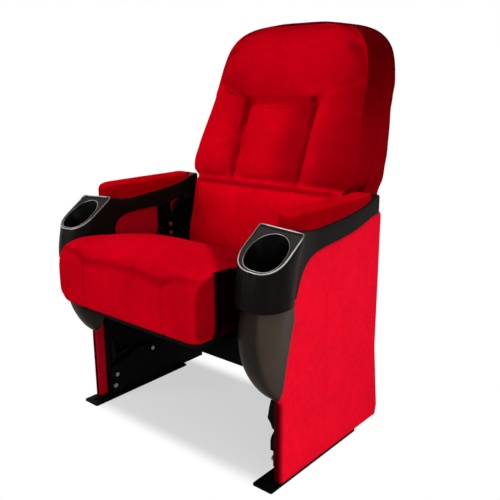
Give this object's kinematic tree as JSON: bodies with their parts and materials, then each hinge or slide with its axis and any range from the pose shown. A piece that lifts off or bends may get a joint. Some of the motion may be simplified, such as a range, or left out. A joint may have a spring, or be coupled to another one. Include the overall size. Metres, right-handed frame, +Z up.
{
  "type": "tip up auditorium seat",
  "caption": "Upholstered auditorium seat with a tipping cushion, a channelled high back, panelled side stands and padded arms that end in cup holders.",
  "frame": {"origin": "on the floor under the middle of the whole seat's bounding box", "axes": "+Z up, the seat faces -Y, +X is to the right seen from the front"},
  "size_m": [0.719, 0.7536, 1],
  "materials": {
    "red_velour": "bright red short-pile velour",
    "pad_velour": "red velour over the arm pads",
    "black_plastic": "black moulded plastic, satin",
    "brown_plastic": "very dark brown moulded plastic, satin",
    "black_steel": "black powder coat, semi-gloss",
    "zinc_steel": "bright zinc plate",
    "rubber": "black rubber",
    "nylon": "natural nylon",
    "board": "plain plywood"
  },
  "bodies": {
    "stand": {"foot_plate_right": "black_steel", "foot_plate_left": "black_steel", "stand_frame_right": "black_steel", "stand_frame_left": "black_steel", "side_panel_right": "red_velour", "side_panel_left": "red_velour", "arm_body_right": "black_plastic", "arm_body_left": "black_plastic", "cup_shell_right": "brown_plastic", "cup_shell_left": "brown_plastic", "arm_pad_right": "pad_velour", "arm_pad_left": "pad_velour", "leg_brace_right": "black_steel", "leg_brace_left": "black_steel", "back_bracket_right": "black_steel", "back_bracket_left": "black_steel", "pivot_housing_right": "black_steel", "pivot_housing_left": "black_steel", "pivot_pin_right": "zinc_steel", "pivot_pin_left": "zinc_steel", "seat_down_buffer_right": "rubber", "seat_down_buffer_left": "rubber", "seat_up_buffer_right": "rubber", "seat_up_buffer_left": "rubber", "return_spring_right": "zinc_steel", "return_spring_left": "zinc_steel", "spring_anchor_right": "zinc_steel", "spring_anchor_left": "zinc_steel", "brace_bolt_lower_right": "zinc_steel", "brace_bolt_lower_left": "zinc_steel", "brace_bolt_upper_right": "zinc_steel", "brace_bolt_upper_left": "zinc_steel", "brace_bolt_rear_right": "zinc_steel", "brace_bolt_rear_left": "zinc_steel", "post_bolt_lower_right": "zinc_steel", "post_bolt_lower_left": "zinc_steel", "post_bolt_upper_right": "zinc_steel", "post_bolt_upper_left": "zinc_steel", "back_bolt_lower_right": "zinc_steel", "back_bolt_lower_left": "zinc_steel", "back_bolt_upper_right": "zinc_steel", "back_bolt_upper_left": "zinc_steel", "back_cushion": "red_velour", "back_board": "board", "back_shell": "red_velour", "back_cover": "black_plastic", "rear_panel": "black_steel"},
    "seat": {"pivot_bush_right": "nylon", "pivot_bush_left": "nylon", "seat_arm_right": "black_steel", "seat_arm_left": "black_steel", "pan_screw_front_right": "zinc_steel", "pan_screw_front_left": "zinc_steel", "pan_screw_rear_right": "zinc_steel", "pan_screw_rear_left": "zinc_steel", "seat_cushion": "red_velour", "seat_pan": "board"}
  },
  "joints": [
    {"name": "seat_tip", "type": "hinge", "parent": "stand", "child": "seat", "pos_m": [0, -0.08383, 0.385], "axis": [-1, 0, 0], "range_deg": [0, 72], "deforming": ["return_spring_right", "return_spring_left"]}
  ]
}
